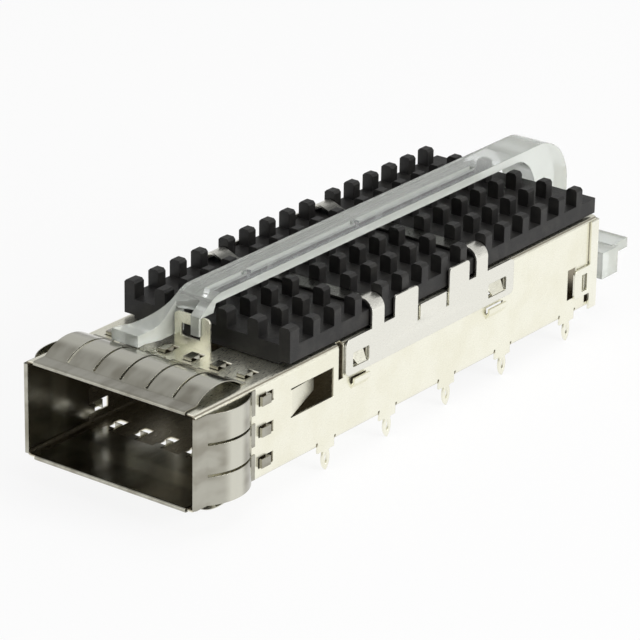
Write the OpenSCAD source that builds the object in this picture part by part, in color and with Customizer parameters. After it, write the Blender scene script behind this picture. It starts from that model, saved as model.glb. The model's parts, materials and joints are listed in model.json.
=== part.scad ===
// Board-mounted port cage with a riding heat sink, its spring clip, a light pipe,
// a rear cover and four spring-finger gaskets round the mouth.
// X is to the right seen from the mouth, Y runs from the mouth to the rear, Z is up.
// Z = 0 is the outer face of the cage's bottom panel, Y = 0 its front edge.

/* [Cage] */
// Outside width of the cage
cage_w = 19; // [18.8:0.1:24]
// Outside height of the cage
cage_h = 9.1; // [8.9:0.1:11]
// Length of the cage, front edge to rear edge
cage_l = 61.2; // [60.8:0.1:70]
// Thickness of the cage's sheet
sheet_t = 0.2; // [0.15:0.01:0.25]
// Outside radius of the cage's folds
fold_r = 0.5; // [0.35:0.05:0.7]
// Length of the press-fit pins below the bottom panel
pin_drop = 2.35; // [2:0.05:3]
// How far the pins' shoulders hold the bottom panel above the board
stand_off = 0.5; // [0.3:0.05:0.6]

/* [Gasket] */
// Thickness of the gasket strip
strip_t = 0.08; // [0.06:0.01:0.1]
// Distance between the fingers of the top and bottom gaskets
finger_pitch = 2.95; // [2.8:0.01:3.1]
// Distance between the fingers of the side gaskets
side_pitch = 2.93; // [2.7:0.01:3]
// Height of a finger's crest above the wall
finger_rise = 1.25; // [0.9:0.05:1.4]
// Outside radius of a finger's arch
finger_r = 4.9; // [4.6:0.1:5.4]

/* [Heat sink] */
// Width of the sink
sink_w = 18.7; // [18.2:0.1:18.9]
// Front face of the sink behind the mouth
sink_y = 13.1; // [12.9:0.1:13.4]
// Distance between the rows of pins
row_pitch = 3.02; // [2.9:0.01:3.1]
// Top of the sink's pins above the bottom panel
sink_top = 12.65; // [12.2:0.05:12.7]
// How far the pedestal reaches below the cage's inner top face
pedestal_reach = 0.45; // [0.3:0.05:0.6]

/* [Clip] */
// Thickness of the clip's sheet
clip_t = 0.2; // [0.15:0.01:0.25]
// Height of the rails' lower edge
rail_z = 5.7; // [5.6:0.1:6]
// Width of a strap along the cage
strap_w = 1.8; // [1.5:0.1:1.85]

/* [Light pipe] */
// Thickness of the guides above the sink
guide_t = 0.8; // [0.6:0.05:1]
// Outside radius of the elbow behind the sink
elbow_r = 5.1; // [4.6:0.1:5.5]

/* [Hidden] */

fine = 48;
bite = 1;
fit_gap = 0.05;

wall_x = cage_w / 2;
bay_x = wall_x - sheet_t;
bay_top = cage_h - sheet_t;
mid_z = cage_h / 2;

// Windows that the gasket's tabs stand in
window_y = [8.6, 10.7];
window_w = 1.05;
top_fingers = [for (i = [-2.5:1:2.5]) i * finger_pitch];
side_fingers = [for (i = [-1:1:1]) mid_z + i * side_pitch];

// Latch windows with a tongue bent into the bay
latch_y = [13.15, 19.3];
latch_z = [4.35, 7.15];
tongue_l = 4.6;
tongue_in = 1.05;

// Bracket that holds the light pipe
bracket_y = 11.2;
bracket_x = 2;
bracket_top = 12.2;
bracket_window = [[-1.2, 0.9], [10.0, 11.2]];

// Board pins
pin_rows = [18.34, 27.53, 36.73, 45.78, 56.6];
shoulder_w = 2.4;
pin_w = 1.1;
pin_eye_w = 0.4;
pin_root = pin_w + 0.04;

// Openings in the top and bottom panels
sink_hole_x = 6.6;
sink_hole_y = [20.5, 46.5];
plug_hole_x = 8;
plug_hole_y = [38, 58];

// Rear cover and what holds it
cover_y = cage_l + fit_gap;
cover_top = 8.8;
cover_foot = -0.15;
flange_l = 1.2;
tab_y = 57.4;
tab_z = [1.55, 4.45];
tab_window_y = [58.7, 59.55];
tab_window_z = [2.0, 3.75];

// Gasket
band_gap = 0.1;
band_r = (strip_t * 2 + sheet_t + band_gap) / 2;
crest_y = 4.4;
foot_end = 8.05;
finger_gap = 0.25;
foot_gap = 0.75;
slit_y = 1.4;
inner_end = 8.0;
tab_end = 9.95;
tab_w = 0.85;
tab_rise = 0.35;
strip_half = 8.5;
side_strip_half = 4.25;
side_leg_half = 3.95;

// Heat sink
rows_in_block = [4, 5, 6];
block_gap = 0.99;
first_row_l = 1.3;
pin_l = 1.0;
pin_cols = [-8.75, -5.25, -1.75, 1.75, 5.25, 8.75];
pin_cw = 1.2;
pin_bevel = 0.22;
floor_z = 10.97;
skirt_z = 9.45;
seat_gap = 0.05;
ledge_l = 2.3;
land_x = 8.2;
pedestal_x = 6.2;
pedestal_y = [21, 46];
row_back = [for (b = [0:1:2]) for (i = [0:1:rows_in_block[b] - 1])
            sink_y + first_row_l + (i + (b > 0 ? rows_in_block[0] : 0)
            + (b > 1 ? rows_in_block[1] : 0)) * row_pitch + b * block_gap];
row_count = len(row_back);
sink_end = row_back[row_count - 1] + ledge_l;

// Clip
clip_x = wall_x + fit_gap;
rail_y = [20.75, 46.8];
rail_top = 9.2;
strap_y = [row_back[3] + 1.1, row_back[8] + 1.1];
clip_window_y = [[21.8, 24.2], [42.7, 45.6]];
clip_window_z = [6.35, 7.75];
upstand_y = [[27.98, 31.49], [36.4, 39.5]];
upstand_top = 11.25;
slot_w = 0.45;
slot_z = 7.7;
arch_r = 1.2;
arch_z = 10.65;
arch_turn = 22;
strap_low = floor_z + 0.13;

// Light pipe
run_x = [-2.6, 1.2];
run_z = 13.05 + guide_t;
groove_x = [-0.85, -0.35];
front_y = 6.9;
front_x = [-5.6, -2.6];
front_z = [9.8, 10.9];
wedge_end = 12.7;
wedge_right = -2.15;
ramp_y = [8.0, 13.8];
shift_y = [6.9, 12.0];
elbow_y = 63.3;
arm_z = [3.0, 5.0];

function ease(t) = let (u = max(0, min(1, t))) u * u * (3 - 2 * u);
function ramp(y, y0, y1, a, b) = a + (b - a) * ease((y - y0) / (y1 - y0));

// Extrusions along each axis. Their 2-D children are drawn in XZ, YZ and XY.
module along_y(y0, y1) {
    translate([0, y1, 0])
        rotate([90, 0, 0])
            linear_extrude(y1 - y0)
                children();
}

module along_x(x0, x1) {
    translate([x0, 0, 0])
        rotate([90, 0, 90])
            linear_extrude(x1 - x0)
                children();
}

module along_z(z0, z1) {
    translate([0, 0, z0])
        linear_extrude(z1 - z0)
            children();
}

module box(x, y, z) {
    translate([x[0], y[0], z[0]])
        cube([x[1] - x[0], y[1] - y[0], z[1] - z[0]]);
}

module both_sides() {
    children();
    mirror([1, 0, 0])
        children();
}

// Rectangle from [a, c] to [b, d] with round corners
module round_plate(a, b, c, d, r) {
    translate([a + r, c])
        square([b - a - 2 * r, d - c]);
    translate([a, c + r])
        square([b - a, d - c - 2 * r]);
    for (x = [a + r, b - r])
        for (y = [c + r, d - r])
            translate([x, y])
                circle(r, $fn = fine);
}

// Upright lens shape, the crossing of two circles
module lens(w, h) {
    r = (h * h + w * w) / (4 * w);
    intersection() {
        translate([r - w / 2, 0])
            circle(r, $fn = fine);
        translate([w / 2 - r, 0])
            circle(r, $fn = fine);
    }
}

/* ---------- cage body ---------- */

module tube() {
    along_y(0, cage_l)
        difference() {
            round_plate(-wall_x, wall_x, 0, cage_h, fold_r);
            round_plate(-bay_x, bay_x, sheet_t, bay_top, fold_r - sheet_t);
        }
}

module tab_windows() {
    for (x = top_fingers) {
        box([x - window_w / 2, x + window_w / 2], window_y, [bay_top - bite, cage_h + bite]);
        box([x - window_w / 2, x + window_w / 2], window_y, [-bite, sheet_t + bite]);
    }
    both_sides()
        for (z = side_fingers)
            box([bay_x - bite, wall_x + bite], window_y, [z - window_w / 2, z + window_w / 2]);
}

// Everything cut out of one side wall
module side_cuts() {
    box([bay_x - bite, wall_x + bite], latch_y, latch_z);
    box([wall_x - fold_r, wall_x + bite], [20.0, 20.7], [rail_z - 0.05, cage_h + bite]);
    for (y = clip_window_y) {
        box([bay_x - bite, wall_x + bite], [y[0] + 0.15, y[1] - 0.1], [6.45, 7.7]);
        box([bay_x - bite, wall_x + bite], [y[0] + 0.1, y[1] - 0.1], [4.6, 5.3]);
    }
    box([bay_x - bite, wall_x + bite], [59.9, 60.5], [4.6, 8.7]);
    box([bay_x - bite, wall_x + bite], [59.5, 60.3], [0.6, 1.4]);
    box([bay_x - bite, wall_x + bite], [56.5, 57.9], [1.7, 4.8]);
    box([bay_x - bite, wall_x + bite], [59.2, 59.5], [tab_window_z[0] + 0.1, tab_window_z[1] - 0.1]);
    for (y = pin_rows)
        for (side = [-1, 1])
            box([bay_x - bite, wall_x + bite], [y + side * (shoulder_w / 2 + 0.12) - 0.12,
                y + side * (shoulder_w / 2 + 0.12) + 0.12], [-bite, 0.55]);
}

module latch_tongue() {
    root = latch_y[0] - 0.1;
    tip = latch_y[0] + tongue_l;
    intersection() {
        along_z(latch_z[0], latch_z[1])
            polygon([[bay_x, root], [wall_x, root], [wall_x, latch_y[0] + 0.15],
                     [wall_x - tongue_in, tip], [bay_x - tongue_in, tip],
                     [bay_x, latch_y[0] + 0.15]]);
        along_x(bay_x - tongue_in - bite, wall_x + bite)
            polygon([[root, latch_z[0] + 0.12], [tip, latch_z[0] + 0.85],
                     [tip, latch_z[1] - 0.75], [root, latch_z[1] - 0.12]]);
    }
}

// Lance that leans out through the clip's window and holds its lower edge
module clip_hook(y0, y1) {
    lean = 0.42;
    intersection() {
        along_y(y0, y1)
            polygon([[bay_x, 7.9], [wall_x, 7.9], [wall_x, 7.65], [wall_x + lean, 6.55],
                     [wall_x + lean - sheet_t, 6.5], [bay_x, 7.55]]);
        along_x(bay_x - bite, wall_x + bite)
            polygon([[y0, 8], [y1, 8], [y1, 6.4], [y0 + 0.45, 6.4], [y0, 7.1]]);
    }
}

// Half-sheared pocket, open at its top
module louvre(y0, y1) {
    bulge = 0.42;
    along_y(y0, y1)
        polygon([[bay_x, 4.2], [wall_x, 4.2], [wall_x + bulge, 4.75], [wall_x + bulge, 5.25],
                 [wall_x + bulge - sheet_t, 5.25], [wall_x + bulge - sheet_t, 4.85],
                 [bay_x, 4.4]]);
}

// Wedge that snaps into the rear cover's tab
module cover_catch() {
    along_z(tab_window_z[0] + 0.1, tab_window_z[1] - 0.1)
        polygon([[bay_x, 58.6], [wall_x, 58.6], [wall_x, 58.78], [wall_x + 0.35, 58.78],
                 [wall_x + 0.1, 59.25], [bay_x, 59.25]]);
}

module board_pin(y) {
    pin_h = pin_drop - stand_off + 0.3;
    pin_mid = -pin_drop + pin_h / 2;
    along_x(bay_x, wall_x)
        difference() {
            union() {
                translate([y - shoulder_w / 2, -stand_off])
                    square([shoulder_w, stand_off + 0.8]);
                translate([y, pin_mid])
                    lens(pin_w, pin_h + 0.2);
                translate([y - 0.36, -stand_off - 0.25])
                    square([0.72, 0.3]);
                translate([y - pin_root / 2, -stand_off - 0.06])
                    square([pin_root, 0.1]);
            }
            translate([y, pin_mid])
                lens(pin_eye_w, 1.15);
        }
}

module bracket() {
    difference() {
        union() {
            along_y(bracket_y, bracket_y + sheet_t) {
                round_plate(-bracket_x, bracket_x, bay_top + 0.1, bracket_top, 0.5);
                translate([-bracket_x, bay_top])
                    square([2 * bracket_x, 1]);
            }
        }
        box(bracket_window[0], [bracket_y - bite, bracket_y + bite], bracket_window[1]);
    }
}

module cage_body() {
    color("#d9d4c2") {
        difference() {
            tube();
            tab_windows();
            both_sides()
                side_cuts();
            box([-sink_hole_x, sink_hole_x], sink_hole_y, [bay_top - bite, cage_h + bite]);
            box([-plug_hole_x, plug_hole_x], plug_hole_y, [-bite, sheet_t + bite]);
            box([-bracket_x + 0.1, bracket_x - 0.1], [bracket_y + sheet_t, bracket_y + 3.3],
                [bay_top - bite, cage_h + bite]);
        }
        both_sides() {
            latch_tongue();
            cover_catch();
            for (y = clip_window_y) {
                clip_hook(y[0] + 0.15, y[1] - 0.65);
                louvre(y[0] + 0.05, y[1] - 0.05);
            }
            for (y = pin_rows)
                board_pin(y);
        }
        bracket();
    }
}

/* ---------- rear cover ---------- */

module rear_cover() {
    inside = wall_x + fit_gap;
    outside = inside + sheet_t;
    plate_in = cover_y;
    plate_out = cover_y + sheet_t;
    color("#dcd9cc") {
        difference() {
            along_z(cover_foot, cover_top)
                difference() {
                    round_plate(-outside, outside, cage_l - flange_l, plate_out, 0.3);
                    round_plate(-inside, inside, cage_l - flange_l - bite, plate_in, 0.1);
                }
        }
        both_sides()
            along_x(inside, outside)
                difference() {
                    union() {
                        round_plate(tab_y, cage_l - flange_l + 0.6, tab_z[0], tab_z[1], 0.4);
                        translate([cage_l - flange_l, cover_foot])
                            square([flange_l / 2, cover_top - cover_foot]);
                    }
                    translate([tab_window_y[0], tab_window_z[0]])
                        square([tab_window_y[1] - tab_window_y[0],
                                tab_window_z[1] - tab_window_z[0]]);
                }
    }
}

/* ---------- gaskets ---------- */

// Side profile of one strip, drawn over a wall whose outer face is at height 0
module strip_profile() {
    hoop = finger_rise - finger_r;
    rise_y = crest_y - sqrt(pow(finger_r, 2) - pow(band_gap + strip_t - hoop, 2));
    fall_y = crest_y + sqrt(pow(finger_r, 2) - pow(strip_t - hoop, 2));
    translate([0, -sheet_t - strip_t])
        square([inner_end, strip_t]);
    difference() {
        translate([0, band_gap + strip_t - band_r])
            circle(band_r, $fn = fine);
        translate([0, band_gap + strip_t - band_r])
            circle(band_r - strip_t, $fn = fine);
        translate([0, -bite])
            square([2 * bite, 2 * bite]);
    }
    translate([0, band_gap])
        square([rise_y + 0.05, strip_t]);
    intersection() {
        difference() {
            translate([crest_y, hoop])
                circle(finger_r, $fn = fine);
            translate([crest_y, hoop])
                circle(finger_r - strip_t, $fn = fine);
        }
        translate([rise_y, 0])
            square([fall_y - rise_y, finger_rise + bite]);
    }
    translate([fall_y - 0.3, 0])
        square([foot_end - fall_y + 0.3, strip_t]);
}

// Profile of one inner tab, which steps out through its window like a staple
module tab_profile() {
    low = -sheet_t - strip_t;
    translate([inner_end - 0.3, low])
        square([window_y[0] + 0.3 + strip_t - inner_end + 0.1, strip_t]);
    translate([window_y[0] + 0.1, low])
        square([strip_t, tab_rise - low]);
    translate([window_y[0] + 0.1, tab_rise - strip_t])
        square([tab_end - window_y[0] - 0.1, strip_t]);
    translate([tab_end - strip_t, -sheet_t])
        square([strip_t, tab_rise + sheet_t]);
}

// One strip over a wall at height 0, its fingers centred at the given places.
// Its leg inside the wall is narrower where the cage's folds need the room.
module strip(half, leg_half, fingers) {
    pitch = fingers[1] - fingers[0];
    first = fingers[0] - pitch / 2;
    difference() {
        along_x(-half, half)
            strip_profile();
        for (side = [-1, 1])
            box([min(side * leg_half, side * (half + bite)), max(side * leg_half, side * (half + bite))],
                [0, inner_end + bite], [-bite, -sheet_t / 2]);
        for (i = [1:1:len(fingers) - 1]) {
            box([first + i * pitch - finger_gap / 2, first + i * pitch + finger_gap / 2],
                [slit_y, foot_end + bite], [0, finger_rise + bite]);
            box([first + i * pitch - foot_gap / 2, first + i * pitch + foot_gap / 2],
                [7.3, foot_end + bite], [0, finger_rise + bite]);
        }
    }
    for (x = fingers)
        along_x(x - tab_w / 2, x + tab_w / 2)
            tab_profile();
}

module gasket_top() {
    color("#b7b2a6")
        translate([0, 0, cage_h])
            strip(strip_half, strip_half, top_fingers);
}

module gasket_bottom() {
    color("#b7b2a6")
        mirror([0, 0, 1])
            strip(strip_half, strip_half, top_fingers);
}

module side_strip() {
    translate([wall_x, 0, mid_z])
        rotate([0, 90, 0])
            strip(side_strip_half, side_leg_half, [for (z = side_fingers) z - mid_z]);
}

module gasket_right() {
    color("#b7b2a6")
        side_strip();
}

module gasket_left() {
    color("#b7b2a6")
        mirror([1, 0, 0])
            side_strip();
}

/* ---------- heat sink ---------- */

module pin_column(x) {
    half = pin_cw / 2;
    polygon([[x - half, floor_z - 0.5], [x + half, floor_z - 0.5],
             [x + half, sink_top - pin_bevel], [x + half - pin_bevel, sink_top],
             [x - half + pin_bevel, sink_top], [x - half, sink_top - pin_bevel]]);
}

module heat_sink() {
    half = sink_w / 2;
    color("#1c1c1e") {
        difference() {
            along_y(sink_y, sink_end) {
                translate([-half, skirt_z])
                    square([sink_w, floor_z - skirt_z]);
                for (x = pin_cols)
                    pin_column(x);
            }
            for (i = [0:1:row_count - 2])
                box([-wall_x, wall_x], [row_back[i], row_back[i + 1] - pin_l],
                    [floor_z, sink_top + bite]);
            box([-wall_x, wall_x], [row_back[row_count - 1], sink_end + bite],
                [floor_z, sink_top + bite]);
        }
        box([-land_x, land_x], [sink_y, sink_end], [cage_h + seat_gap, skirt_z]);
        box([-pedestal_x, pedestal_x], pedestal_y, [bay_top - pedestal_reach, skirt_z]);
    }
}

/* ---------- clip ---------- */

module rail() {
    difference() {
        union() {
            round_plate(rail_y[0], rail_y[1], rail_z, rail_top, 0.6);
            for (y = upstand_y)
                round_plate(y[0], y[1], rail_z + 1, upstand_top, 0.4);
            for (y = strap_y)
                translate([y, rail_z + 1])
                    square([strap_w, arch_z - rail_z - 1]);
        }
        for (y = clip_window_y)
            round_plate(y[0], y[1], clip_window_z[0], clip_window_z[1], 0.15);
        translate([upstand_y[0][1], slot_z])
            square([slot_w, rail_top]);
        translate([upstand_y[1][0] - slot_w, slot_z])
            square([slot_w, rail_top]);
    }
}

// Front view of the right half of a strap: over the arch, down the slope, flat across
module strap_half() {
    c = clip_x + clip_t - arch_r;
    inner_r = arch_r - clip_t;
    end_x = c - arch_r * sin(arch_turn);
    end_z = arch_z + arch_r * cos(arch_turn);
    run = (end_z - strap_low - clip_t) / tan(arch_turn);
    intersection() {
        difference() {
            translate([c, arch_z])
                circle(arch_r, $fn = fine);
            translate([c, arch_z])
                circle(inner_r, $fn = fine);
        }
        polygon([[c, arch_z], [c + 2 * arch_r, arch_z], [c + 2 * arch_r, arch_z + 2 * arch_r],
                 [c - 2 * arch_r * sin(arch_turn), arch_z + 2 * arch_r * cos(arch_turn)]]);
    }
    polygon([[end_x, end_z], [end_x - run, end_z - run * tan(arch_turn)],
             [0, strap_low + clip_t], [0, strap_low],
             [end_x - run - clip_t * tan(arch_turn / 2), strap_low],
             [c - inner_r * sin(arch_turn), arch_z + inner_r * cos(arch_turn)]]);
}

module heat_sink_clip() {
    color("#c3c7c9") {
        both_sides() {
            along_x(clip_x, clip_x + clip_t)
                rail();
            for (y = strap_y)
                along_y(y, y + strap_w)
                    strap_half();
        }
    }
}

/* ---------- light pipe ---------- */

module pipe_side() {
    steps = 10;
    rise = [for (i = [0:1:steps]) ramp_y[0] + i * (ramp_y[1] - ramp_y[0]) / steps];
    polygon(concat(
        [[front_y, front_z[0]], [front_y, front_z[1]]],
        [for (y = rise) [y, ramp(y, ramp_y[0], ramp_y[1], front_z[1], run_z)]],
        [[elbow_y, run_z], [elbow_y, run_z - guide_t], [sink_y - 0.05, run_z - guide_t],
         [wedge_end, 12.3], [wedge_end, front_z[0]]]));
    intersection() {
        difference() {
            translate([elbow_y, run_z - elbow_r])
                circle(elbow_r, $fn = 96);
            translate([elbow_y, run_z - elbow_r])
                circle(elbow_r - guide_t, $fn = 96);
        }
        translate([elbow_y, run_z - elbow_r])
            square([2 * elbow_r, 2 * elbow_r]);
    }
    translate([elbow_y + elbow_r - guide_t, arm_z[0]])
        square([guide_t, run_z - elbow_r - arm_z[0]]);
}

module pipe_plan() {
    steps = 8;
    bend = [for (i = [0:1:steps]) shift_y[0] + i * (shift_y[1] - shift_y[0]) / steps];
    back = elbow_y + elbow_r;
    difference() {
        polygon(concat(
            [for (y = bend) [ramp(y, shift_y[0], shift_y[1], front_x[0], run_x[0]), y]],
            [[run_x[0], back + bite], [run_x[1], back + bite], [run_x[1], 10.75],
             [wedge_right, 10.75], [wedge_right, 9.5], [front_x[1], 8.0],
             [front_x[1], front_y]]));
        for (y = [[14.2, 17.6], [18.2, 36], [36.6, 60]])
            translate([groove_x[0], y[0]])
                square([groove_x[1] - groove_x[0], y[1] - y[0]]);
    }
}

module light_pipe() {
    color("#e4eeee", 0.6) {
        difference() {
            intersection() {
                along_x(front_x[0] - bite, run_x[1] + bite)
                    pipe_side();
                along_z(arm_z[0] - bite, run_z + bite)
                    pipe_plan();
            }
            box([wedge_right, run_x[1] + bite], [9, 12.95], [front_z[0] - bite, bracket_top + 0.1]);
        }
        box([0.1, 1.1], [10.75, bracket_y - fit_gap], [10.4, bracket_top + 0.3]);
        box([0.2, 0.8], [10.9, bracket_y + sheet_t + 0.1], [10.75, 11.1]);
        along_y(elbow_y + elbow_r - 1.6, elbow_y + elbow_r)
            round_plate(run_x[0], 9.2, arm_z[0], arm_z[1], 0.9);
        box([5.9, 7.95], [64.6, elbow_y + elbow_r - 0.5], [1.0, arm_z[0] + 0.3]);
    }
}

cage_body();
rear_cover();
gasket_top();
gasket_bottom();
gasket_left();
gasket_right();
heat_sink();
heat_sink_clip();
light_pipe();
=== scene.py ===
"""Port cage with riding heat sink, spring clip and light pipe: two pieces, finishes and light."""

import json
import math

import bpy
from mathutils import Matrix, Vector

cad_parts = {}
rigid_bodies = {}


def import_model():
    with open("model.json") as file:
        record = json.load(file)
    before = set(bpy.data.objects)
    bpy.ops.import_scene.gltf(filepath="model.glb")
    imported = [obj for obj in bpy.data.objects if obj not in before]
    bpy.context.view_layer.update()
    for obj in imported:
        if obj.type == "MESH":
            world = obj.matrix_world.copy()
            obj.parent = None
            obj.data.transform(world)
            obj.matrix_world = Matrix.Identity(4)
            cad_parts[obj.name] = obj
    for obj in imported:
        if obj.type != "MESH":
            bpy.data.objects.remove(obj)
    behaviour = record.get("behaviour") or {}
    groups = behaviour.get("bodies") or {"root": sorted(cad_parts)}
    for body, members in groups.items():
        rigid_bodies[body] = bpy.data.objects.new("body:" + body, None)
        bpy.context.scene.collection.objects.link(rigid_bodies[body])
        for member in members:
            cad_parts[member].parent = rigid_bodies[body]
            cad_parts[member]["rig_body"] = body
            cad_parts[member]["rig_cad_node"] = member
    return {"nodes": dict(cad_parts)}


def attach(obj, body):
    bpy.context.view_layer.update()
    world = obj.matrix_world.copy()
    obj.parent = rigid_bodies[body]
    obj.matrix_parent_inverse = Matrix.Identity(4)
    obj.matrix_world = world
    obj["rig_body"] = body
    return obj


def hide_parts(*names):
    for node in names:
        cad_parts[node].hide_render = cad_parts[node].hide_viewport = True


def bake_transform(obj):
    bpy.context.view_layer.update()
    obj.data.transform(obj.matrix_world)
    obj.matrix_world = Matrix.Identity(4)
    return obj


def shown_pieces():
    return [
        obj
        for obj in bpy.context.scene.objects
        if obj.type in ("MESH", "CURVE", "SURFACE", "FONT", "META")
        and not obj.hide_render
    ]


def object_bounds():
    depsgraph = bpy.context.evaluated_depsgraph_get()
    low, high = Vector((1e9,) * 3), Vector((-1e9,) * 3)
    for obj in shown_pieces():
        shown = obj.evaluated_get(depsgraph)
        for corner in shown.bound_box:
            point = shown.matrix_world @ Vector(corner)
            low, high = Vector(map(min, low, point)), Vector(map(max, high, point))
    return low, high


MM = 0.001

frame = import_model()
cad_low, cad_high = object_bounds()


def deselect():
    """Nothing stays selected, so that the next operator acts on its own piece only."""
    for thing in bpy.context.selected_objects:
        thing.select_set(False)


deselect()

# ---------------------------------------------------------------- camera

AIM = Vector((3.587, 25.0, 8.261)) * MM
AZIMUTH = math.radians(36.994)
ELEVATION = math.radians(22.52)
ROLL = math.radians(0.937)
DISTANCE = 331.66 * MM
LENS = 207.3


def place_camera():
    """A long lens looks at the mouth, the right side and the top."""
    back = Vector((math.sin(AZIMUTH) * math.cos(ELEVATION),
                   -math.cos(AZIMUTH) * math.cos(ELEVATION),
                   math.sin(ELEVATION)))
    level_right = (-back).cross(Vector((0, 0, 1))).normalized()
    level_up = level_right.cross(-back)
    right = math.cos(ROLL) * level_right + math.sin(ROLL) * level_up
    up = math.cos(ROLL) * level_up - math.sin(ROLL) * level_right
    data = bpy.data.cameras.new("camera")
    data.lens = LENS
    data.sensor_width = 36.0
    data.clip_start = 0.01
    data.clip_end = 10.0
    camera = bpy.data.objects.new("camera", data)
    bpy.context.scene.collection.objects.link(camera)
    turn = Matrix((right, up, back)).transposed()
    camera.matrix_world = Matrix.Translation(AIM + DISTANCE * back) @ turn.to_4x4()
    bpy.context.scene.camera = camera


place_camera()
bpy.context.scene.view_settings.view_transform = "Standard"

# ---------------------------------------------------------------- shader maths


FIRST_COLOUR = 6
SECOND_COLOUR = 7
MIXED_COLOUR = 2


class Value:
    """A number socket of a node tree that can be subtracted and multiplied like a number."""

    def __init__(self, finish, socket):
        self.finish = finish
        self.socket = socket

    def _math(self, operation, *values):
        return self.finish.node("ShaderNodeMath", {"operation": operation}, *values)

    def __sub__(self, other):
        return self._math("SUBTRACT", self, other)

    def __rsub__(self, other):
        return self._math("SUBTRACT", other, self)

    def __mul__(self, other):
        return self._math("MULTIPLY", self, other)

    __rmul__ = __mul__

    def larger(self, other):
        return self._math("MAXIMUM", self, other)

    def size(self):
        return self._math("ABSOLUTE", self)


class Finish:
    """One material and its nodes."""

    def __init__(self, name):
        self.material = bpy.data.materials.new(name)
        self.material.use_nodes = True
        self.nodes = self.material.node_tree.nodes
        self.links = self.material.node_tree.links
        self.nodes.clear()
        self.output = self.nodes.new("ShaderNodeOutputMaterial")
        self.spot = self.nodes.new("ShaderNodeTexCoord").outputs["Object"]

    def feed(self, socket, value):
        if isinstance(value, Value):
            value = value.socket
        if isinstance(value, bpy.types.NodeSocket):
            self.links.new(value, socket)
        else:
            socket.default_value = value

    def node(self, kind, settings, *values, out=0, **named):
        """Adds a node, sets it up, feeds its sockets, and gives one of its outputs back."""
        made = self.nodes.new(kind)
        for key, setting in settings.items():
            setattr(made, key, setting)
        for socket, value in zip(made.inputs, values):
            self.feed(socket, value)
        for key, value in named.items():
            self.feed(made.inputs[key.replace("_", " ")], value)
        return Value(self, made.outputs[out])

    def axis(self, letter):
        """One coordinate of the surface point, in metres."""
        split = self.nodes.new("ShaderNodeSeparateXYZ")
        self.links.new(self.spot, split.inputs[0])
        return Value(self, split.outputs["XYZ".index(letter)])

    def stretched(self, x, y, z):
        """The surface point in millimetres, with each axis scaled for streaks or grain."""
        scaled = self.nodes.new("ShaderNodeVectorMath")
        scaled.operation = "MULTIPLY"
        self.links.new(self.spot, scaled.inputs[0])
        scaled.inputs[1].default_value = (x / MM, y / MM, z / MM)
        return Value(self, scaled.outputs[0])

    def noise(self, where, scale, detail=2.0, roughness=0.5):
        return self.node("ShaderNodeTexNoise", {}, Vector=where, Scale=scale, Detail=detail,
                         Roughness=roughness)

    def band(self, value, low, high, start=0.0, end=1.0):
        """Start below low, end above high, and a smooth step between."""
        made = self.nodes.new("ShaderNodeMapRange")
        made.interpolation_type = "SMOOTHSTEP"
        self.feed(made.inputs["Value"], value)
        made.inputs["From Min"].default_value = low
        made.inputs["From Max"].default_value = high
        made.inputs["To Min"].default_value = start
        made.inputs["To Max"].default_value = end
        return Value(self, made.outputs[0])

    def between(self, value, rise, fall):
        """1 between two places in millimetres, with a smooth step at each."""
        up = self.band(value, rise[0] * MM, rise[1] * MM)
        return up * self.band(value, fall[0] * MM, fall[1] * MM, 1.0, 0.0)

    def tint(self, factor, first, second):
        """A colour between two colours."""
        made = self.nodes.new("ShaderNodeMix")
        made.data_type = "RGBA"
        self.feed(made.inputs["Factor"], factor)
        self.feed(made.inputs[FIRST_COLOUR], first)
        self.feed(made.inputs[SECOND_COLOUR], second)
        return Value(self, made.outputs[MIXED_COLOUR])

    def grain(self, height, depth, softened):
        """A bump in millimetres of depth, over edges softened by a small radius."""
        bump = self.nodes.new("ShaderNodeBump")
        bump.inputs["Distance"].default_value = depth * MM
        bump.inputs["Strength"].default_value = 1.0
        self.feed(bump.inputs["Height"], height)
        bevel = self.nodes.new("ShaderNodeBevel")
        bevel.samples = 4
        bevel.inputs["Radius"].default_value = softened * MM
        self.links.new(bevel.outputs[0], bump.inputs["Normal"])
        return Value(self, bump.outputs[0])

    def surface(self, **sockets):
        """The Principled shader, fed by socket name, as the material's surface."""
        shader = self.node("ShaderNodeBsdfPrincipled", {}, **sockets)
        self.links.new(shader.socket, self.output.inputs["Surface"])
        return self.material


# ---------------------------------------------------------------- light pipe

# The pipe's places are in millimetres, apart from those written with MM, which are in metres.
PIPE_X = (-2.6, 1.2)
GAP_X = (-0.6, 0.0)
GAPS_Y = ((13.6, 18.9), (19.5, 34.9), (35.5, 54.0))
ELBOW = Vector((0, 63.3, 8.75)) * MM
ELBOW_R = 5.1 * MM
BEND = Vector((0, 59.4, 8.0)) * MM
BEND_REACH = (3.6 * MM, 5.05 * MM)
DROP_LOW = 3.4 * MM
FRONT_Y = 6.9
BLOCK_Z = (9.8, 10.9)
RAMP_Y = (8.0, 13.8)
RAMP_STEP = 0.58
RUN_RISE = 2.95
SWING = 3.0
SWING_Y = (6.9, 12.0)
SWING_STEP = 0.51
BLANK_X = -7
BLANK_WIDE = 9


def ease(low, high, at):
    """0 below low, 1 above high, and a smooth step between."""
    part = min(1.0, max(0.0, (at - low) / (high - low)))
    return part * part * (3 - 2 * part)


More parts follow.
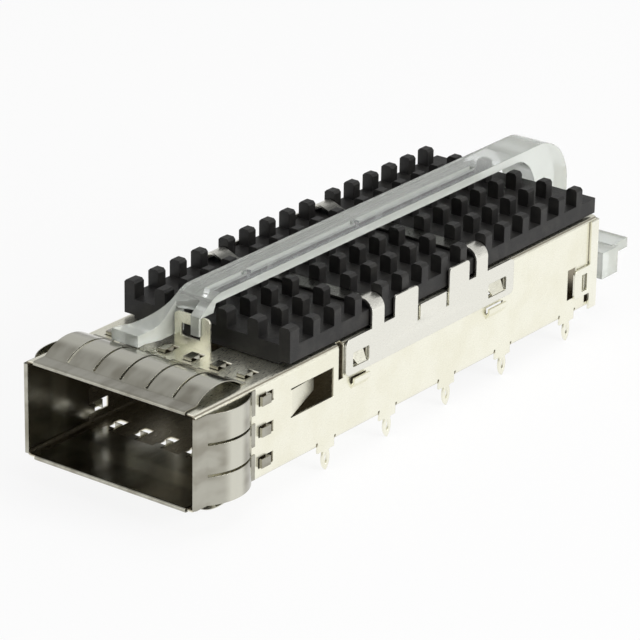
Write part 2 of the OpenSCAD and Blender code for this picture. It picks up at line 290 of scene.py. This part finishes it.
def prism(name, outline, sideways):
    """A closed outline drawn point by point, filled, and drawn out along one direction."""
    deselect()
    bpy.ops.mesh.primitive_plane_add(size=MM, location=outline[0])
    piece = bpy.context.object
    piece.name = name
    bpy.ops.object.transform_apply()
    bpy.ops.object.mode_set(mode="EDIT")
    bpy.ops.mesh.select_all(action="SELECT")
    bpy.ops.mesh.merge(type="CENTER")
    for start, end in zip(outline, outline[1:]):
        bpy.ops.mesh.extrude_region_move(TRANSFORM_OT_translate={"value": end - start})
    bpy.ops.mesh.select_all(action="SELECT")
    bpy.ops.mesh.edge_face_add()
    bpy.ops.mesh.extrude_region_move(TRANSFORM_OT_translate={"value": sideways})
    bpy.ops.mesh.select_all(action="SELECT")
    bpy.ops.mesh.normals_make_consistent(inside=False)
    bpy.ops.object.mode_set(mode="OBJECT")
    return piece


def block(name, x, y, z):
    """A straight block between two places on each axis, in millimetres."""
    corners = [(x[0], y[0]), (x[1], y[0]), (x[1], y[1]), (x[0], y[1])]
    outline = [Vector((a, b, z[0])) * MM for a, b in corners]
    return prism(name, outline, Vector((0, 0, (z[1] - z[0]) * MM)))


def shape_with(piece, tool, operation):
    """Cuts, joins or keeps what two solids share, and takes the tool away."""
    deselect()
    piece.select_set(True)
    bpy.context.view_layer.objects.active = piece
    change = piece.modifiers.new("shape", "BOOLEAN")
    change.operation = operation
    change.object = tool
    change.solver = "EXACT"
    bpy.ops.object.modifier_apply(modifier=change.name)
    bpy.data.objects.remove(tool)


def side_outline():
    """The pipe from the side: block at the mouth, ramp, run, elbow and drop."""
    ramp = [RAMP_Y[0] + RAMP_STEP * step for step in range(11)]
    quarter = [math.radians(6 * step) for step in range(16)]
    points = [Vector((0, FRONT_Y, z)) for z in BLOCK_Z]
    points += [Vector((0, y, BLOCK_Z[1] + RUN_RISE * ease(*RAMP_Y, y))) for y in ramp]
    points = [point * MM for point in points]
    points += [ELBOW + ELBOW_R * Vector((0, math.sin(a), math.cos(a))) for a in quarter]
    points.append(Vector((0, ELBOW.y + ELBOW_R, DROP_LOW)))
    points.append(Vector((0, BEND.y + BEND_REACH[0], DROP_LOW)))
    points += [BEND + Vector((0, BEND_REACH[0] * math.cos(a), BEND_REACH[1] * math.sin(a)))
               for a in quarter]
    points += [Vector((0, y, z)) * MM for y, z in ((13.0, 13.05), (12.7, 12.4), (12.7, 9.8))]
    return points


def plan_outline():
    """The pipe from above: it swings from left of the bracket to the middle of the sink."""
    left, right = PIPE_X
    swing = [SWING_Y[0] + SWING_STEP * step for step in range(11)]
    points = [(left - SWING + SWING * ease(*SWING_Y, y), y) for y in swing]
    points += [(left, 70), (right, 70), (right, 10.8), (0.1, 10.8), (0.1, 12.3), (-2.15, 11.6),
               (-2.15, 9.5), (left, 8.0), (left, FRONT_Y)]
    return [Vector((x, y, 0)) * MM for x, y in points]


def make_light_pipe():
    """The side shape cut to the plan, then the gaps, the bracket's room, the hook and the foot."""
    shift = Vector((BLANK_X * MM, 0, 0))
    pipe = prism("moulded_light_pipe", [point + shift for point in side_outline()],
                 Vector((BLANK_WIDE * MM, 0, 0)))
    shape_with(pipe, prism("plan", plan_outline(), Vector((0, 0, 20 * MM))), "INTERSECT")
    shape_with(pipe, block("over_bracket", (-2.15, 3), (10, 12.9), (9, 12.25)), "DIFFERENCE")
    for gap in GAPS_Y:
        shape_with(pipe, block("gap", GAP_X, gap, (12, 15)), "DIFFERENCE")
    shape_with(pipe, block("hook", (0.15, 1.05), (10.8, 11.14), (10.5, 12.35)), "UNION")
    shape_with(pipe, block("arm", (-2.5, 8.6), (65.6, 68.35), (3.5, 4.5)), "UNION")
    shape_with(pipe, block("foot", (6.4, 9.0), (63.4, 66.1), (1.65, 4.4)), "UNION")
    bpy.ops.object.shade_smooth_by_angle(angle=math.radians(25))
    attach(pipe, "cage")
    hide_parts("light_pipe")
    return pipe


light_pipe = make_light_pipe()

# ---------------------------------------------------------------- clip


def make_flexing_clip():
    """The clip once more, as a merged and smoothed copy in place of the part from the model."""
    deselect()
    stiff = frame["nodes"]["heat_sink_clip"]
    stiff.select_set(True)
    bpy.context.view_layer.objects.active = stiff
    bpy.ops.object.duplicate()
    clip = bpy.context.object
    clip.name = "flexing_clip"
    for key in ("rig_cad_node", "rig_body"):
        if key in clip:
            del clip[key]
    bpy.ops.object.parent_clear(type="CLEAR_KEEP_TRANSFORM")
    bpy.ops.object.mode_set(mode="EDIT")
    bpy.ops.mesh.select_all(action="SELECT")
    bpy.ops.mesh.remove_doubles(threshold=0.001 * MM)
    bpy.ops.object.mode_set(mode="OBJECT")
    bpy.ops.object.shade_smooth_by_angle(angle=math.radians(25))
    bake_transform(clip)
    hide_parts("heat_sink_clip")
    return clip


flexing_clip = make_flexing_clip()

# ---------------------------------------------------------------- finishes


# Painted shade: a darker brown colour for the inner faces of the tube, kept off the latch tongue.
INSIDE_PAINTED_SHADE = (0.36, 0.325, 0.25, 1)
INNER_X = (9.37, 9.43)
INNER_Z = ((0.07, 0.13), (8.97, 9.03))
TONGUE_X = (7.0, 7.2)
TONGUE_Y = ((13.0, 13.1), (19.2, 19.4))
TONGUE_Z = ((4.2, 4.3), (7.2, 7.3))
CREST_Y = ((2.6, 3.6), (4.6, 5.6))
# Where the clip's painted shade among the sink's pins ends and its own bright colour begins.
PIN_SHADE_EDGE_X = (7.6, 8.6)
MILKY_REAR_Y = (52, 60)
MILKY_FRONT_Y = (11, 15)


def plated_sheet(name, pale, deep, rough):
    """Nickel-plated sheet: a faint warm mottle and a fine rolled grain, and painted shade inside
    the tube.
    """
    f = Finish(name)
    mottle = f.noise(f.stretched(1, 1, 1), 0.35, 3.0)
    grain = f.noise(f.stretched(6, 0.6, 6), 3.0, 3.0, 0.6)
    across, along, height = f.axis("X").size(), f.axis("Y"), f.axis("Z")
    # Painted shade mask: the inner faces of the tube, apart from the latch tongue seen through its
    # window.
    inside = f.band(across, INNER_X[0] * MM, INNER_X[1] * MM, 1.0, 0.0)
    inside = inside * f.between(height, *INNER_Z)
    tongue = f.band(across, TONGUE_X[0] * MM, TONGUE_X[1] * MM)
    tongue = tongue * f.between(along, *TONGUE_Y) * f.between(height, *TONGUE_Z)
    inside = inside * (1 - tongue)
    plate = f.tint(f.band(mottle, 0.3, 0.75), pale, deep)
    return f.surface(
        Base_Color=f.tint(inside, plate, INSIDE_PAINTED_SHADE),
        Metallic=1.0,
        Roughness=f.band(grain, 0.3, 0.7, rough - 0.05, rough + 0.06),
        Normal=f.grain(grain, 0.0012, 0.06))


def spring_strip():
    """Rolled spring strip: streaks along the fingers, a brownish drift and a painted highlight
    along the crest.
    """
    f = Finish("spring_strip")
    drift = f.noise(f.stretched(0.6, 0.2, 0.6), 1.0, 2.0)
    streak = f.noise(f.stretched(9, 0.35, 9), 2.0, 3.0, 0.6)
    # Painted highlight: a lighter band along the crest of the fingers.
    crest = f.between(f.axis("Y"), *CREST_Y)
    strip = f.tint(f.band(drift, 0.35, 0.7), (0.44, 0.43, 0.37, 1), (0.30, 0.285, 0.235, 1))
    return f.surface(
        Base_Color=f.tint(crest, strip, (0.62, 0.61, 0.53, 1)),
        Metallic=1.0,
        Roughness=f.band(streak, 0.3, 0.7, 0.14, 0.24),
        Normal=f.grain(streak, 0.0016, 0.03))


def black_anodised():
    """Black anodised aluminium: a matt grain and a faint greyer drift."""
    f = Finish("black_anodised")
    grain = f.noise(f.stretched(1, 1, 1), 9.0, 4.0, 0.6)
    dust = f.noise(f.stretched(1, 1, 1), 0.8, 3.0)
    black = f.tint(f.band(dust, 0.4, 0.7), (0.011, 0.0105, 0.01, 1), (0.021, 0.02, 0.018, 1))
    return f.surface(
        Base_Color=black,
        Metallic=0.0,
        Roughness=f.band(grain, 0.3, 0.7, 0.42, 0.58),
        Specular_IOR_Level=0.3,
        Normal=f.grain(grain, 0.004, 0.08))


def stainless_spring():
    """Satin stainless spring sheet, with painted shade where the straps lie among the sink's pins.
    """
    f = Finish("stainless_spring")
    grain = f.noise(f.stretched(5, 0.5, 5), 4.0, 3.0, 0.6)
    # Painted shade: the straps among the pins get a dark colour, the rails outside keep the bright
    # one.
    clear_of_pin_shade = f.band(f.axis("X").size(), PIN_SHADE_EDGE_X[0] * MM, PIN_SHADE_EDGE_X[1] * MM)
    return f.surface(
        Base_Color=f.tint(clear_of_pin_shade, (0.16, 0.16, 0.145, 1), (0.80, 0.79, 0.72, 1)),
        Metallic=1.0,
        Roughness=f.band(grain, 0.3, 0.7, 0.25, 0.36),
        Normal=f.grain(grain, 0.001, 0.06))


def clear_plastic():
    """Clear moulded plastic with milky ends, a milky painted highlight on the faces turned to the
    right, and painted streaks of reflection on the left guide.
    """
    f = Finish("clear_plastic")
    ripple = f.noise(f.stretched(1, 0.3, 1), 1.2, 2.0)
    streak = f.noise(f.stretched(7, 0.12, 7), 1.0, 2.0)
    facing = f.nodes.new("ShaderNodeSeparateXYZ")
    f.links.new(f.nodes.new("ShaderNodeNewGeometry").outputs["Normal"], facing.inputs[0])
    # Painted highlight: faces turned towards the right are made milky and bright.
    side = f.band(Value(f, facing.outputs[0]), 0.5, 0.8)
    left = f.band(f.axis("X"), GAP_X[0] * MM, (GAP_X[0] + 0.1) * MM, 1.0, 0.0)
    along = f.axis("Y")
    rear = f.band(along, MILKY_REAR_Y[0] * MM, MILKY_REAR_Y[1] * MM)
    front = f.band(along, MILKY_FRONT_Y[0] * MM, MILKY_FRONT_Y[1] * MM, 1.0, 0.0)
    # Painted reflection: milky streaks on the left guide.
    streak_reflection = left * f.band(streak, 0.3, 0.7, 0.2, 0.42) * (1 - front) * (1 - rear)
    # The milky share: painted highlight and painted reflection, and the milky ends.
    milk_and_sheen = (side * 0.5).larger(streak_reflection)
    milk_and_sheen = milk_and_sheen.larger(rear * 0.42).larger(front * 0.45)
    normal = f.grain(ripple, 0.015, 0.1)
    clear = f.node("ShaderNodeBsdfPrincipled", {}, Base_Color=(0.93, 0.96, 0.95, 1),
                   Roughness=0.06, IOR=1.52, Transmission_Weight=1.0, Normal=normal)
    milky = f.node("ShaderNodeBsdfPrincipled", {}, Base_Color=(0.66, 0.68, 0.63, 1), Roughness=0.2,
                   IOR=1.52, Normal=normal)
    mixed = f.node("ShaderNodeMixShader", {}, milk_and_sheen, clear, milky)
    f.links.new(mixed.socket, f.output.inputs["Surface"])
    return f.material


FINISHES = {
    "cage_body": plated_sheet("cage_plate", (0.90, 0.885, 0.76, 1), (0.86, 0.84, 0.70, 1), 0.3),
    "rear_cover": plated_sheet("cover_plate", (0.90, 0.89, 0.78, 1), (0.86, 0.845, 0.73, 1), 0.3),
    "heat_sink": black_anodised(),
    "heat_sink_clip": stainless_spring(),
    "light_pipe": clear_plastic(),
}
strip_finish = spring_strip()
for side in ("top", "bottom", "left", "right"):
    FINISHES["gasket_" + side] = strip_finish

for piece, node in ((light_pipe, "light_pipe"), (flexing_clip, "heat_sink_clip")):
    piece.data.materials.clear()
    piece.data.materials.append(FINISHES[node])

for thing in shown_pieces():
    node = thing.get("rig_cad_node")
    if node in FINISHES:
        thing.data.materials.clear()
        thing.data.materials.append(FINISHES[node])


# ---------------------------------------------------------------- floor, light and background


FLOOR_GLOW = 0.87
ROOM_LIGHT = 0.38
SEEN_ROOM = (("Is Glossy Ray", 0.6), ("Is Transmission Ray", 1.0), ("Is Camera Ray", 1.0))
LAMPS = (("right_lamp", (0.45, 0.05, 0.16), 0.30, 2.2),
         ("top_lamp", (0.05, 0.10, 0.50), 0.35, 0.7),
         ("front_lamp", (-0.25, -0.45, 0.15), 0.20, 0.12))


def make_floor():
    """A wide pale floor under the pins."""
    bpy.ops.mesh.primitive_plane_add(size=4.0, location=(0, 0, cad_low.z))
    floor = bpy.context.object
    floor.name = "floor"
    f = Finish("pale_floor")
    rays = f.nodes.new("ShaderNodeLightPath")
    diffuse = f.node("ShaderNodeBsdfDiffuse", {}, Color=(0.9, 0.9, 0.9, 1))
    glow = f.node("ShaderNodeEmission", {}, Color=(1, 1, 1, 1), Strength=1.0)
    seen = Value(f, rays.outputs["Is Camera Ray"]) * FLOOR_GLOW
    for kind in ("Is Glossy Ray", "Is Transmission Ray"):
        seen = seen.larger(Value(f, rays.outputs[kind]))
    mix = f.node("ShaderNodeMixShader", {}, seen, diffuse, glow)
    f.links.new(mix.socket, f.output.inputs["Surface"])
    floor.data.materials.append(f.material)


def make_background():
    """White to the camera and through the pipe, dimmer to metal, and room light to the rest."""
    world = bpy.data.worlds.new("studio")
    world.use_nodes = True
    bpy.context.scene.world = world
    tree = world.node_tree
    tree.nodes.clear()
    rays = tree.nodes.new("ShaderNodeLightPath")
    light = tree.nodes.new("ShaderNodeBackground")
    light.inputs["Color"].default_value = (1, 1, 1, 1)
    strength = None
    for kind, brightness in SEEN_ROOM:
        step = tree.nodes.new("ShaderNodeMath")
        step.operation = "MULTIPLY"
        step.inputs[1].default_value = brightness
        tree.links.new(rays.outputs[kind], step.inputs[0])
        brightest = tree.nodes.new("ShaderNodeMath")
        brightest.operation = "MAXIMUM"
        brightest.inputs[1].default_value = ROOM_LIGHT
        tree.links.new(step.outputs[0], brightest.inputs[0])
        if strength:
            tree.links.new(strength, brightest.inputs[1])
        strength = brightest.outputs[0]
    tree.links.new(strength, light.inputs["Strength"])
    output = tree.nodes.new("ShaderNodeOutputWorld")
    tree.links.new(light.outputs[0], output.inputs["Surface"])


def softbox(name, place, size, power):
    """A square lamp that faces the middle of the cage."""
    data = bpy.data.lights.new(name, "AREA")
    data.size = size
    data.energy = power
    lamp = bpy.data.objects.new(name, data)
    middle = (cad_low + cad_high) / 2
    lamp.location = middle + Vector(place)
    lamp.rotation_mode = "QUATERNION"
    lamp.rotation_quaternion = (middle - lamp.location).to_track_quat("-Z", "Y")
    bpy.context.scene.collection.objects.link(lamp)


make_floor()
make_background()
for lamp in LAMPS:
    softbox(*lamp)
